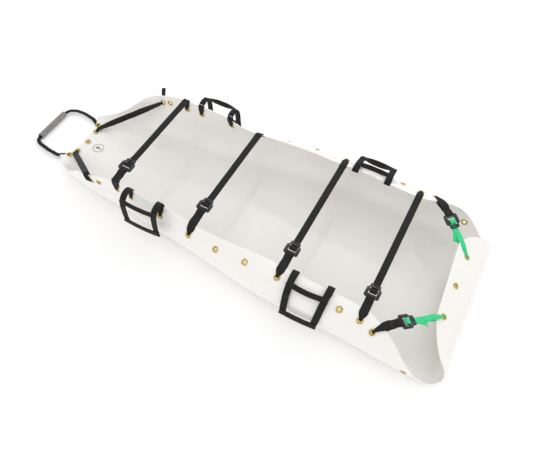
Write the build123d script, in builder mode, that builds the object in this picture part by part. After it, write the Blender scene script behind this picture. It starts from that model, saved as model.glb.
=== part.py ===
"""Roll-up drag stretcher: one curled plastic sheet, its brass grommets, and the webbing fitted to it.

X runs from the head end to the foot end, Y across from the left wall to the right wall, Z is up.
The origin is on the underside of the floor, at the middle of the sheet's length on the ground.
A place on the flat sheet is (s, t): s is its station along X before the foot end is folded,
t its distance from the centre line. Rolling the walls up and folding the foot flap over turns
that place into a point in space.
"""

import os
from math import cos, hypot, radians, sin

from build123d import *

# ---------------------------------------------------------------- driving dimensions (mm)
SHEET_THICKNESS = 3.0
HEAD_CORNER_X = -985.0
HEAD_EDGE_X = -958.0
FOOT_EDGE_S = 1162.0
FOOT_EDGE_SKEW = 0.08
HEAD_CURVE_REACH = 150.0
FOOT_SKEW_REACH = 162.0

# station, floor half width, bend radius, bend angle, flat half width, sideways sway
SECTIONS = (
    (-985, 100, 80, 80, 150, 0),
    (-885, 150, 80, 80, 242, 0),
    (-750, 180, 80, 80, 389, 0),
    (-692, 192, 80, 82, 425, 0),
    (-559, 201, 80, 89, 468, 0),
    (-367, 222, 92, 100, 488, 0),
    (-175, 245, 98, 140, 505, 0),
    (245, 302, 100, 178, 613, -3),
    (596, 308, 97, 178, 610, -13),
    (700, 310, 97, 178, 575, -20),
    (960, 310, 97, 178, 360, -30),
    (1060, 310, 97, 178, 318, -15),
    (1120, 310, 97, 178, 262, -6),
    (1162, 310, 97, 178, 190, 0),
)
FLOOR_HALF, BEND_RADIUS, BEND_ANGLE, FLAT_HALF, SWAY = 1, 2, 3, 4, 5

HEAD_RISE_X = -885.0
HEAD_RISE_RUN = 100.0
HEAD_RISE = 8.0

FOOT_FOLD_X = 920.0
FOOT_FOLD_RADIUS = 45.0
FOOT_FOLD_ANGLE = 150.0

GROMMET_RADIUS = 14.0
GROMMET_HOLE = 7.0
GROMMET_BARREL = 8.3
GROMMET_FLANGE = 1.4
GROMMET_FIT = 0.2
GROMMET_INNER_GAP = 1.3
EDGE_DISTANCE = 50.0

WEB_THICKNESS = 2.0
LONG_WEB = 30.0
SHORT_WEB = 35.0
GREEN_WEB = 26.0
LASHING_WEB = 20.0
CLOSE_LEGS = (4.6, -5.6)
SLANTED_LEGS = (8.6, -9.6)
DRAG_LEGS = (4.0, -5.6)
SLANTED_TAPER = 66
THROAT = 9.0
SEWN_LAP = 80

STRAP_STATIONS = (-546, -170, 243, 596)
BUCKLE_REACH = (94, 100, 86, 76)
FOOT_BUCKLE_REACH = 78
HANDLE_STATIONS = ((-470, -320), (300, 450))
SPARE_STATIONS = (-35, 100, 510)
FOOT_STRAP_STATION = 655
CORNER_STATION = 815
HEAD_GROMMETS = ((-938, 0), (-944, 72), (-944, -72), (-962, 113), (-962, -113))
SHOULDER_STATIONS = (-680, -640)
FLAP_GROMMET_S = 1117.0
FLAP_GROMMET_T = 159.0

BUCKLE_HALF_WIDTH = 30.5
BUCKLE_NOSE_HALF = 21.0
BUCKLE_PLATE = 5.0
BUCKLE_RAIL = 8.0
BUCKLE_LINE = 6.2
BAR_RADIUS = 4.0
BAR_PIN = 1.8
BAR_BACK = 6.0
BAR_AHEAD = 2.0
FIT = 0.3

DRAG_TUBE_X = -1145.0
DRAG_TUBE_Z = 15.0
DRAG_TUBE_LENGTH = 196.0
DRAG_TUBE_RADIUS = 14.0
DRAG_TUBE_BORE = 10.5
DRAG_HINGE_X = -1000.0
DRAG_WEB = 18.0


# ---------------------------------------------------------------- shape of the rolled sheet
def section_value(x, column):
    """Monotone cubic through the stations of SECTIONS."""
    xs = [row[0] for row in SECTIONS]
    ys = [row[column] for row in SECTIONS]
    last = len(xs) - 1
    slopes = [(ys[i + 1] - ys[i]) / (xs[i + 1] - xs[i]) for i in range(last)]

    def tangent(i):
        if i == 0 or i == last:
            return slopes[0] if i == 0 else slopes[-1]
        before, after = slopes[i - 1], slopes[i]
        return 0.0 if before * after <= 0 else 2 * before * after / (before + after)

    x = min(max(x, xs[0]), xs[-1])
    i = max(k for k in range(last) if xs[k] <= x)
    step = xs[i + 1] - xs[i]
    u = (x - xs[i]) / step
    ends = ys[i] * (2 * u**3 - 3 * u**2 + 1) + ys[i + 1] * (3 * u**2 - 2 * u**3)
    return ends + step * (tangent(i) * (u**3 - 2 * u**2 + u) + tangent(i + 1) * (u**3 - u**2))


def curl(distance, radius, angle):
    """Follow an arc of the given radius and angle, then its tangent: run, rise and slope angle."""
    if distance <= 0:
        return distance, 0.0, 0.0
    turn = min(distance / radius, angle)
    straight = distance - radius * turn
    return (
        radius * sin(turn) + straight * cos(turn),
        radius * (1 - cos(turn)) + straight * sin(turn),
        turn,
    )


def sheet_point(s, t, lift=0.0):
    """Point on the sheet's middle surface, moved by lift towards its outer face."""
    side = 1 if t >= 0 else -1
    floor_half = section_value(s, FLOOR_HALF)
    wall_angle = radians(section_value(s, BEND_ANGLE))
    run, rise, slope = curl(abs(t) - floor_half, section_value(s, BEND_RADIUS), wall_angle)
    y = side * (floor_half + run + lift * sin(slope)) + section_value(s, SWAY)
    head_rise = HEAD_RISE * max(0.0, (HEAD_RISE_X - s) / HEAD_RISE_RUN) ** 2
    height = rise + head_rise - lift * cos(slope)
    ahead, up, fold = curl(s - FOOT_FOLD_X, FOOT_FOLD_RADIUS, radians(FOOT_FOLD_ANGLE))
    x = FOOT_FOLD_X + ahead - height * sin(fold)
    return Vector(x, y, up + height * cos(fold) + SHEET_THICKNESS / 2)


def sheet_plane(s, t):
    """Plane on the middle surface, Z towards the outer face, X along the sheet."""
    outward = sheet_point(s, t, 1) - sheet_point(s, t, -1)
    along = sheet_point(s + 1, t) - sheet_point(s - 1, t)
    return Plane(origin=sheet_point(s, t), x_dir=along, z_dir=outward)


def half_width(s):
    return section_value(s, FLAT_HALF)


def outline_position(u, v):
    """Flat place for u from head to foot and v from the left edge (-1) to the right edge (1)."""
    s = HEAD_CORNER_X + u * (FOOT_EDGE_S - HEAD_CORNER_X)
    t = v * half_width(s)
    near_head = max(0.0, 1 - (s - HEAD_CORNER_X) / HEAD_CURVE_REACH) ** 2
    near_foot = max(0.0, (s - FOOT_EDGE_S + FOOT_SKEW_REACH) / FOOT_SKEW_REACH) ** 2
    s += near_head * (HEAD_EDGE_X - HEAD_CORNER_X) * (1 - v * v)
    return s + FOOT_EDGE_SKEW * t * near_foot, t


def side_place(s, side, inset=EDGE_DISTANCE):
    """Flat place a given distance in from a wall's cut edge."""
    return s, side * (half_width(s) - inset)


# ---------------------------------------------------------------- webbing
def ribbon(points, thickness):
    """Closed outline of a band of the given thickness along a plane polyline."""
    left, right = [], []
    for i, (px, pz) in enumerate(points):
        ax, az = points[max(i - 1, 0)]
        bx, bz = points[min(i + 1, len(points) - 1)]
        before = Vector(px - ax, pz - az).normalized() if i else None
        after = Vector(bx - px, bz - pz).normalized() if i < len(points) - 1 else None
        heading = ((before or after) + (after or before)).normalized()
        miter = thickness / 2 / max(heading.dot(before or after), 0.5)
        left.append((px - heading.Y * miter, pz + heading.X * miter))
        right.append((px + heading.Y * miter, pz - heading.X * miter))
    return left + right[::-1]


def upright_plane(origin, direction):
    """Upright plane through a point: local x is the level direction, local y is height."""
    return Plane(
        origin=(origin.X, origin.Y, 0),
        x_dir=direction,
        z_dir=direction.cross(Vector(0, 0, 1)),
    )


def on_plane(plane, point):
    local = plane.to_local_coords(point)
    return local.X, local.Y


def edge_leg(plane, start, step, lift, reach):
    """Points over the sheet from a grommet at flat place start to just past the cut edge."""
    s, t = start
    side = 1 if t >= 0 else -1
    count = 5
    points = []
    for i in range(count):
        part = reach * i / (count - 1)
        points.append(sheet_point(s + step[0] * part, t + side * step[1] * part, lift))
    return [on_plane(plane, point) for point in points]


def edge_loop(plane, start, step, reach, merge, width, lifts=CLOSE_LEGS, narrow=30):
    """Loop round the sheet's edge and through a grommet, closed at the merge point."""
    outer = edge_leg(plane, start, step, lifts[0], reach)
    inner = edge_leg(plane, start, step, lifts[1], reach)
    band(plane, ribbon([merge] + inner[::-1] + outer[:1], WEB_THICKNESS), width)
    band(plane, ribbon(outer + [merge], WEB_THICKNESS), width)
    taper(plane, start, merge, width, narrow)


def taper(plane, start, merge, width, narrow):
    """Cut a band down to its throat where it goes through a grommet."""
    centre = sheet_point(*start)
    toward = plane.from_local_coords((merge[0], merge[1], 0)) - centre
    cutting_plane = Plane(origin=centre, x_dir=plane.z_dir, z_dir=plane.z_dir.cross(toward))
    half = width / 2 + 2
    with BuildSketch(cutting_plane) as waste:
        for side in (1, -1):
            with BuildLine():
                Polyline(
                    (side * THROAT / 2, -20),
                    (side * THROAT / 2, 3),
                    (side * half, narrow),
                    (side * half, -20),
                    close=True,
                )
            make_face()
    extrude(waste.sketch, amount=26, both=True, mode=Mode.SUBTRACT)


def band(plane, outline, width):
    """Extrude a band's outline to its full width on both sides of its plane."""
    with BuildSketch(plane) as face:
        with BuildLine():
            Polyline(*outline, close=True)
        make_face()
    extrude(face.sketch, amount=width / 2, both=True)


def save(builder, name):
    builder.part.label = name
    export_step(builder.part, f"parts/{name}.step")


os.makedirs("parts", exist_ok=True)

# ---------------------------------------------------------------- sheet
side_stations = [*STRAP_STATIONS, *SPARE_STATIONS, FOOT_STRAP_STATION, CORNER_STATION]
side_stations += [station for pair in HANDLE_STATIONS for station in pair]
left_grommets = [side_place(s, -1) for s in side_stations]
right_grommets = [side_place(s, 1) for s in side_stations]
shoulder_grommets = [side_place(s, side, 38) for s in SHOULDER_STATIONS for side in (-1, 1)]
foot_grommets = [(FLAP_GROMMET_S, t) for t in (-FLAP_GROMMET_T, 0, FLAP_GROMMET_T)]
grommet_groups = {
    "grommets_left_wall": left_grommets,
    "grommets_right_wall": right_grommets,
    "grommets_head_end": [*HEAD_GROMMETS, *shoulder_grommets],
    "grommets_foot_flap": foot_grommets,
}

FLAT_FLOOR_X = -880.0
ROW_SPANS = (
    (HEAD_CORNER_X, FLAT_FLOOR_X, 4),
    (FLAT_FLOOR_X, FOOT_FOLD_X, 28),
    (FOOT_FOLD_X, FOOT_FOLD_X + 120, 10),
    (FOOT_FOLD_X + 120, FOOT_EDGE_S, 3),
)
WALL_COLUMNS = 24
FLOOR_COLUMNS = 16
rows = [low + (high - low) * i / count for low, high, count in ROW_SPANS for i in range(count)]
rows.append(FOOT_EDGE_S)
head_row = ROW_SPANS[0][2]
fold_row = head_row + ROW_SPANS[1][2]


def row_curve(row, low, high, count, lift):
    """Curve across one face of the sheet between two shares of its half width."""
    u = (row - HEAD_CORNER_X) / (FOOT_EDGE_S - HEAD_CORNER_X)
    shares = [low + (high - low) * j / count for j in range(count + 1)]
    return Edge.make_spline([sheet_point(*outline_position(u, v), lift) for v in shares])


def skin_rows(lift):
    """Left wall, floor and right wall curves of every row on one face of the sheet."""
    result = []
    for row in rows:
        bend = min(section_value(row, FLOOR_HALF), 0.85 * half_width(row)) / half_width(row)
        left = row_curve(row, -1, -bend, WALL_COLUMNS, lift)
        right = row_curve(row, bend, 1, WALL_COLUMNS, lift)
        middle = row_curve(row, -bend, bend, FLOOR_COLUMNS, lift)
        if head_row <= len(result) <= fold_row:
            middle = Edge.make_line(left @ 1, right @ 0)
        result.append((left, middle, right))
    return result


def skin_faces(skin):
    """Flat floor, walls, raised head edge and folded flap of one face of the sheet."""
    faces = []
    left_border = [Edge.make_line(a[0] @ 1, b[0] @ 1) for a, b in zip(skin, skin[1:])]
    right_border = [Edge.make_line(a[2] @ 0, b[2] @ 0) for a, b in zip(skin, skin[1:])]
    floor_borders = right_border[head_row:fold_row] + left_border[head_row:fold_row]
    faces.append(Face(Wire([skin[head_row][1], skin[fold_row][1], *floor_borders])))
    for strip in (0, 2):
        faces += [Face.make_surface_from_curves(a[strip], b[strip]) for a, b in zip(skin, skin[1:])]
    for bent in (skin[:head_row + 1], skin[fold_row:]):
        faces += [Face.make_surface_from_curves(a[1], b[1]) for a, b in zip(bent, bent[1:])]
    return faces


outer_skin = skin_rows(SHEET_THICKNESS / 2)
inner_skin = skin_rows(-SHEET_THICKNESS / 2)
sheet_faces = skin_faces(outer_skin) + skin_faces(inner_skin)
for end_row in (0, -1):
    sheet_faces += [Face.make_surface_from_curves(a, b) for a, b in zip(outer_skin[end_row], inner_skin[end_row])]
for strip, end in ((0, 0), (2, 1)):
    for i in range(len(rows) - 1):
        skins = (outer_skin, inner_skin)
        cut_lines = [Edge.make_line(s[i][strip] @ end, s[i + 1][strip] @ end) for s in skins]
        sheet_faces.append(Face.make_surface_from_curves(*cut_lines))
sheet_solid = Solid(Shell(sheet_faces))

with BuildPart() as sheet_body:
    add(sheet_solid)
    for places in grommet_groups.values():
        with Locations(*[sheet_plane(*place).location for place in places]):
            Cylinder(GROMMET_BARREL + GROMMET_FIT, 16, mode=Mode.SUBTRACT)
save(sheet_body, "sheet_body")

# ---------------------------------------------------------------- grommets
outer_face = SHEET_THICKNESS / 2
inner_face = -SHEET_THICKNESS / 2 - GROMMET_INNER_GAP
with BuildPart() as grommet:
    with BuildSketch(Plane.XZ):
        with BuildLine():
            Polyline(
                (GROMMET_HOLE, inner_face - GROMMET_FLANGE),
                (GROMMET_RADIUS, inner_face - GROMMET_FLANGE / 2),
                (GROMMET_RADIUS, inner_face),
                (GROMMET_BARREL, inner_face),
                (GROMMET_BARREL, outer_face),
                (GROMMET_RADIUS, outer_face),
                (GROMMET_RADIUS, outer_face + GROMMET_FLANGE / 2),
                (GROMMET_HOLE, outer_face + GROMMET_FLANGE),
                close=True,
            )
        make_face()
    revolve(axis=Axis.Z)

for group_name, places in grommet_groups.items():
    with BuildPart() as grommet_group:
        with Locations(*[sheet_plane(*place).location for place in places]):
            add(grommet.part)
    save(grommet_group, group_name)


# ---------------------------------------------------------------- adjuster buckle
with BuildPart() as buckle_frame:
    with BuildSketch(Plane.XY.offset(-BUCKLE_PLATE / 2)):
        with BuildLine():
            Polyline(
                (-34, -BUCKLE_HALF_WIDTH + 5),
                (-29, -BUCKLE_HALF_WIDTH),
                (7, -BUCKLE_HALF_WIDTH),
                (16, -BUCKLE_NOSE_HALF),
                (27, -BUCKLE_NOSE_HALF),
                (30, -BUCKLE_NOSE_HALF + 4),
                (30, BUCKLE_NOSE_HALF - 4),
                (27, BUCKLE_NOSE_HALF),
                (16, BUCKLE_NOSE_HALF),
                (7, BUCKLE_HALF_WIDTH),
                (-29, BUCKLE_HALF_WIDTH),
                (-34, BUCKLE_HALF_WIDTH - 5),
                close=True,
            )
        make_face()
    extrude(amount=BUCKLE_PLATE)
    with Locations((-10, 24, 0), (-10, -24, 0)):
        Box(32, 12, BUCKLE_RAIL)
    with Locations((-2, 0, 0)):
        Box(32, 35, 20, mode=Mode.SUBTRACT)
    with Locations((-25.5, 0, 0)):
        Box(6, 37, 20, mode=Mode.SUBTRACT)
    with Locations((22.5, 0, 0)):
        Box(5, 20, 20, mode=Mode.SUBTRACT)
    with Locations(((BAR_AHEAD - BAR_BACK) / 2, 0, 0)):
        Box(BAR_AHEAD + BAR_BACK + 2 * BAR_PIN + 2 * FIT, 43, 2 * BAR_PIN + 2 * FIT, mode=Mode.SUBTRACT)

with BuildPart() as friction_bar:
    Cylinder(BAR_RADIUS, 34.2, rotation=(90, 0, 0))
    Cylinder(BAR_PIN, 42, rotation=(90, 0, 0))


def adjuster(name, origin, direction):
    """Write one buckle and its friction bar at a place on a strap."""
    level = Vector(0, 0, 1).cross(direction)
    place = Plane(origin=origin, x_dir=direction, z_dir=direction.cross(level))
    with BuildPart() as placed_frame:
        add(buckle_frame.part.moved(place.location))
    save(placed_frame, f"{name}_buckle")
    with BuildPart() as placed_bar:
        add(friction_bar.part.moved(place.location))
    save(placed_bar, f"{name}_friction_bar")
    print(name, "bar", tuple(round(v, 1) for v in origin), tuple(round(v, 4) for v in direction))


def strap_frame(start, end):
    """Place a point given along and above the taut line between two plane points."""
    length = hypot(end[0] - start[0], end[1] - start[1])
    ux, uz = (end[0] - start[0]) / length, (end[1] - start[1]) / length

    def place(along, above):
        return start[0] + ux * along - uz * above, start[1] + uz * along + ux * above

    return place, length, (ux, uz)


END_BAR_OVER = ((-46, 0), (-40, 4.1), (-25.5, 4.1), (-25.5, -5))
END_BAR_UNDER = ((-24.6, -4.1), (-40, -4.1), (-46, 0))
BAR_WRAP = (
    (-9, -6.2), (-11.5, -3), (-11.5, 4), (-9.5, 5.6), (4.5, 5.6), (7.5, 3.5), (7.5, -2.5), (9.5, -4),
)


def buckled_strap(name, plane, left, right, reach, webs, tail, lifts=CLOSE_LEGS, narrow=30):
    """Short strap, buckle, bar and long strap between two edge loops.

    left and right are (grommet place, flat step towards the edge, leg length, edge crossing).
    """
    start, end = left[3], right[3]
    place, length, (ux, uz) = strap_frame(start, end)
    heading = plane.x_dir * ux + Vector(0, 0, 1) * uz
    merge_left, merge_right = place(22, 0), place(length - 22, 0)

    with BuildPart() as short_strap:
        edge_loop(plane, *left[:3], merge_left, webs[0], lifts, narrow)
        join = place(reach - 46, BUCKLE_LINE)
        band(plane, ribbon([place(8, 0), place(reach - 60, 1), join], 4), webs[0])
        for stretch in (END_BAR_OVER, END_BAR_UNDER):
            points = [place(reach + x, BUCKLE_LINE + z) for x, z in stretch]
            band(plane, ribbon(points, WEB_THICKNESS), webs[0])
    save(short_strap, f"{name}_short_webbing")

    with BuildPart() as long_strap:
        edge_loop(plane, *right[:3], merge_right, webs[1], lifts, narrow)
        wrap = [place(reach + x, BUCKLE_LINE + z) for x, z in BAR_WRAP]
        run = [place(length - 20, 0), place(reach + 36, 0)]
        band(plane, ribbon(run + wrap + [place(reach + tail, BUCKLE_LINE - 4)], WEB_THICKNESS), webs[1])
        band(plane, ribbon([place(length - 20, -1), place(length - SEWN_LAP, -1)], 3), webs[1])
    save(long_strap, f"{name}_long_webbing")

    centre = place(reach, BUCKLE_LINE)
    adjuster(name, plane.from_local_coords((centre[0], centre[1], 0)), heading)


def edge_end(plane, start, step, reach):
    """Everything a strap end needs: its grommet, the way to the edge, and the crossing point."""
    beyond = on_plane(plane, sheet_point(start[0] + step[0] * reach, start[1] + step[1] * reach
                                         * (1 if start[1] > 0 else -1)))
    return start, step, reach, beyond


# ---------------------------------------------------------------- four cross straps
OVERHANG = 8.0
for number, (station, reach) in enumerate(zip(STRAP_STATIONS, BUCKLE_REACH), 1):
    strap_plane = upright_plane(Vector(station, 0, 0), Vector(0, 1, 0))
    ends = [
        edge_end(strap_plane, side_place(station, side), (0, 1), EDGE_DISTANCE + OVERHANG)
        for side in (-1, 1)
    ]
    buckled_strap(f"strap_{number}", strap_plane, *ends, reach, (SHORT_WEB, LONG_WEB), 48)

# ---------------------------------------------------------------- two foot straps
for side, name in ((-1, "foot_strap_left"), (1, "foot_strap_right")):
    wall_place = side_place(FOOT_STRAP_STATION, side)
    flap_place = (FLAP_GROMMET_S, side * FLAP_GROMMET_T)
    across = sheet_point(*flap_place) - sheet_point(*wall_place)
    level = Vector(across.X, across.Y, 0).normalized()
    strap_plane = upright_plane(sheet_point(*wall_place), level)
    wall_end = edge_end(strap_plane, wall_place, (level.X, abs(level.Y)), 74)
    flap_end = edge_end(strap_plane, flap_place, (level.X / cos(radians(30)), abs(level.Y)), 68 + 14 * side)
    webs = (SHORT_WEB, GREEN_WEB)
    buckled_strap(
        name, strap_plane, wall_end, flap_end, FOOT_BUCKLE_REACH, webs, 42, SLANTED_LEGS, SLANTED_TAPER
    )

# ---------------------------------------------------------------- four carry handles
HANGING_ARCH = ((0, 0), (14, 7), (38, 5), (58, -8), (68, -34), (73, -80), (75, -122))
OVER_THE_CURL = ((0, 0), (5, 10), (16, 13), (40, 11), (68, 2), (95, -20), (115, -57), (130, -95), (136, -114))
STANDING_OUT = ((0, 0), (5, 10), (20, 15), (50, 16), (80, 10), (108, -3))
HANDLES = (
    ("handle_left_head", -1, HANDLE_STATIONS[0], HANGING_ARCH, 58),
    ("handle_left_foot", -1, HANDLE_STATIONS[1], OVER_THE_CURL, 62),
    ("handle_right_head", 1, HANDLE_STATIONS[0], HANGING_ARCH, 58),
    ("handle_right_foot", 1, HANDLE_STATIONS[1], STANDING_OUT, 34),
)
HANDLE_WEB = 28.0
HANDLE_THICKNESS = 3.0
HINGE_OVERHANG = 15.0


def along_profile(points, start, end):
    """The stretch of a polyline between two distances along it."""
    result = []
    walked = 0.0
    for (ax, az), (bx, bz) in zip(points, points[1:]):
        length = hypot(bx - ax, bz - az)
        for mark in (start, end):
            if walked <= mark < walked + length:
                part = (mark - walked) / length
                result.append((ax + (bx - ax) * part, az + (bz - az) * part))
        if start < walked + length < end:
            result.append((bx, bz))
        walked += length
    return result


for name, side, stations, profile, inner_bar in HANDLES:
    middle = sum(stations) / 2
    total = sum(hypot(b[0] - a[0], b[1] - a[1]) for a, b in zip(profile, profile[1:]))
    handle_plane = upright_plane(Vector(middle, 0, 0), Vector(0, 1, 0))
    hinge = edge_end(handle_plane, side_place(middle, side), (0, 1), EDGE_DISTANCE + HINGE_OVERHANG)[3]
    spine = [(hinge[0] + side * out, hinge[1] + up) for out, up in profile]
    reach_x = (stations[1] - stations[0] + HANDLE_WEB) / 2
    gap_x = (stations[1] - stations[0] - HANDLE_WEB) / 2
    with BuildPart() as carry_handle:
        band(handle_plane, ribbon(spine, HANDLE_THICKNESS), 2 * reach_x)
        for start, end in ((-1, inner_bar), (inner_bar + 22, total - 26)):
            with BuildSketch(handle_plane):
                with BuildLine():
                    Polyline(*ribbon(along_profile(spine, max(start, 0), end), 16), close=True)
                make_face()
            extrude(amount=gap_x, both=True, mode=Mode.SUBTRACT)
    save(carry_handle, f"{name}_grip")
    with BuildPart() as anchors:
        for station in stations:
            anchor_plane = upright_plane(Vector(station, 0, 0), Vector(0, 1, 0))
            place = side_place(station, side)
            tip = edge_end(anchor_plane, place, (0, 1), EDGE_DISTANCE + 9)[3]
            edge_loop(anchor_plane, place, (0, 1), EDGE_DISTANCE + 3, tip, HANDLE_WEB)
    save(anchors, f"{name}_anchors")
    print(name, "hinge", middle, tuple(round(v, 1) for v in hinge), "length", round(total))

# ---------------------------------------------------------------- drag handle
DRAG_PATH = (
    (DRAG_HINGE_X, 132), (-1060, 142), (-1104, 140), (-1134, 124), (DRAG_TUBE_X, 98),
    (DRAG_TUBE_X, -98), (-1138, -116), (-1118, -128), (-1060, -140), (DRAG_HINGE_X, -146),
)
with BuildPart() as drag_webbing:
    with BuildSketch(Plane.XY.offset(DRAG_TUBE_Z - WEB_THICKNESS / 2)):
        with BuildLine():
            Polyline(*ribbon(DRAG_PATH, DRAG_WEB), close=True)
        make_face()
    extrude(amount=WEB_THICKNESS)
save(drag_webbing, "drag_handle_webbing")

with BuildPart() as drag_tube:
    with Locations((DRAG_TUBE_X, 0, DRAG_TUBE_Z)):
        Cylinder(DRAG_TUBE_RADIUS, DRAG_TUBE_LENGTH - 14, rotation=(90, 0, 0))
        Cylinder(DRAG_TUBE_BORE, DRAG_TUBE_LENGTH, rotation=(90, 0, 0), mode=Mode.SUBTRACT)
save(drag_tube, "drag_handle_tube_grip")

for side, name in ((-1, "drag_handle_anchor_left"), (1, "drag_handle_anchor_right")):
    place = (HEAD_GROMMETS[3][0], side * HEAD_GROMMETS[3][1])
    slant = Vector(-0.87, side * 0.5, 0).normalized()
    anchor_plane = upright_plane(sheet_point(*place), slant)
    tip = (36, DRAG_TUBE_Z)
    with BuildPart() as drag_anchor:
        edge_loop(anchor_plane, place, (-0.87, 0.5), 28, tip, DRAG_WEB, DRAG_LEGS)
    save(drag_anchor, name)

# ---------------------------------------------------------------- head lashing straps
SHOULDER_INSET = 38.0
LASHING_ENDS = (
    ("head_lashing_left", -1, (-700, -12), -3),
    ("head_lashing_right", 1, (SHOULDER_STATIONS[0] - 10, SHOULDER_INSET), -18),
)
for name, side, (station, inset), lift in LASHING_ENDS:
    head_end = sheet_point(HEAD_GROMMETS[1][0] + 4, side * (HEAD_GROMMETS[1][1] + 24), -10)
    shoulder = sheet_point(*side_place(station, side, inset), lift)
    across = shoulder - head_end
    lashing_plane = upright_plane(head_end, Vector(across.X, across.Y, 0).normalized())
    ends = [on_plane(lashing_plane, head_end), on_plane(lashing_plane, shoulder)]
    with BuildPart() as lashing:
        band(lashing_plane, ribbon(ends, WEB_THICKNESS), LASHING_WEB)
    save(lashing, name)
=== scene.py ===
"""Looks of the roll-up drag stretcher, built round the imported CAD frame.

Lengths are in mm until they reach a mesh.
"""
from math import copysign, cos, hypot, pi, radians, sin

import bpy
from mathutils import Matrix, Vector, noise


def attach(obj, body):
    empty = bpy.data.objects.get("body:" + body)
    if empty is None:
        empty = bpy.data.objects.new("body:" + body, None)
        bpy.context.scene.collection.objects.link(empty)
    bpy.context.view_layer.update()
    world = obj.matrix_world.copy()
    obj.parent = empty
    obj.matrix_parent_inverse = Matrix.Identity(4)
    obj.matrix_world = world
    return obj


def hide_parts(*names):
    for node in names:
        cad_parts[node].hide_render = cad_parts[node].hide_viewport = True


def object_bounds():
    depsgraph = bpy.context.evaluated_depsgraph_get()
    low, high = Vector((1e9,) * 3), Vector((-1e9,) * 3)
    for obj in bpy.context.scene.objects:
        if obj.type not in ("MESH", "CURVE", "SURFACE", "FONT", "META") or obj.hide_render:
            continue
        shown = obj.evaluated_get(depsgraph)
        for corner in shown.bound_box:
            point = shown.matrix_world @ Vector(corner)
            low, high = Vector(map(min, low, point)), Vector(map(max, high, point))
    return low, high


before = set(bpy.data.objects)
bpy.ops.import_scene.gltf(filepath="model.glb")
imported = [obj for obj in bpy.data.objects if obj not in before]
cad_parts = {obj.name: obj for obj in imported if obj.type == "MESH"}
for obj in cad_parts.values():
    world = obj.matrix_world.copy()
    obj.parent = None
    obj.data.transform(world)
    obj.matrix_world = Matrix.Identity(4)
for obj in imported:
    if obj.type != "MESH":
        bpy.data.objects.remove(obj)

CAD_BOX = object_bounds()
MM = 0.001
UP = Vector((0, 0, 1))
ROOT = "stretcher"

# ---------------------------------------------------------------- the rolled sheet, as in the CAD
SHEET_THICKNESS = 3.0
HEAD_CORNER_X, HEAD_EDGE_X = -985.0, -958.0
FOOT_EDGE_S, FOOT_EDGE_SKEW = 1162.0, 0.08
HEAD_CURVE_REACH, FOOT_SKEW_REACH = 150.0, 162.0
SECTIONS = (  # station, floor half width, bend radius, bend angle, flat half width, sideways sway
    (-985, 100, 80, 80, 150, 0),
    (-885, 150, 80, 80, 242, 0),
    (-750, 180, 80, 80, 389, 0),
    (-692, 192, 80, 82, 425, 0),
    (-559, 201, 80, 89, 468, 0),
    (-367, 222, 92, 100, 488, 0),
    (-175, 245, 98, 140, 505, 0),
    (245, 302, 100, 178, 613, -3),
    (596, 308, 97, 178, 610, -13),
    (700, 310, 97, 178, 575, -20),
    (960, 310, 97, 178, 360, -30),
    (1060, 310, 97, 178, 318, -15),
    (1120, 310, 97, 178, 262, -6),
    (1162, 310, 97, 178, 190, 0),
)
FLOOR_HALF, BEND_RADIUS, BEND_ANGLE, FLAT_HALF, SWAY = 1, 2, 3, 4, 5
HEAD_RISE_X, HEAD_RISE_RUN, HEAD_RISE = -885.0, 100.0, 8.0
FOOT_FOLD_X, FOOT_FOLD_RADIUS, FOOT_FOLD_ANGLE = 920.0, 45.0, 150.0

EDGE_DISTANCE = 50.0
STRAP_STATIONS = (-546, -170, 243, 596)
BUCKLE_REACH = (94, 100, 86, 76)
FOOT_BUCKLE_REACH = 78
HANDLE_STATIONS = ((-470, -320), (300, 450))
SPARE_STATIONS = (-35, 100, 510)
FOOT_STRAP_STATION = 655
CORNER_STATION = 815
HEAD_GROMMETS = ((-938, 0), (-944, 72), (-944, -72), (-962, 113), (-962, -113))
SHOULDER_STATIONS = (-680, -640)
SHOULDER_INSET = 38
FLAP_GROMMET_S, FLAP_GROMMET_T = 1117.0, 159.0
CLOSE_LEGS = (4.0, -4.6)
SLANTED_LEGS = (5.6, -6.6)


def section_value(x, column):
    """Monotone cubic through the stations of SECTIONS."""
    last = len(SECTIONS) - 1
    xs = [row[0] for row in SECTIONS]
    ys = [row[column] for row in SECTIONS]
    slopes = [(ys[i + 1] - ys[i]) / (xs[i + 1] - xs[i]) for i in range(last)]

    def tangent(i):
        if i in (0, last):
            return slopes[0] if i == 0 else slopes[-1]
        before, after = slopes[i - 1], slopes[i]
        return 0.0 if before * after <= 0 else 2 * before * after / (before + after)

    x = min(max(x, xs[0]), xs[-1])
    i = max(k for k in range(last) if xs[k] <= x)
    step = xs[i + 1] - xs[i]
    u = (x - xs[i]) / step
    ends = ys[i] * (2 * u**3 - 3 * u**2 + 1) + ys[i + 1] * (3 * u**2 - 2 * u**3)
    return ends + step * (tangent(i) * (u**3 - 2 * u**2 + u) + tangent(i + 1) * (u**3 - u**2))


def curl(distance, radius, angle):
    """Follow an arc, then its tangent: run, rise and slope angle."""
    if distance <= 0:
        return distance, 0.0, 0.0
    turn = min(distance / radius, angle)
    straight = distance - radius * turn
    return radius * sin(turn) + straight * cos(turn), radius * (1 - cos(turn)) + straight * sin(turn), turn


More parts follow.
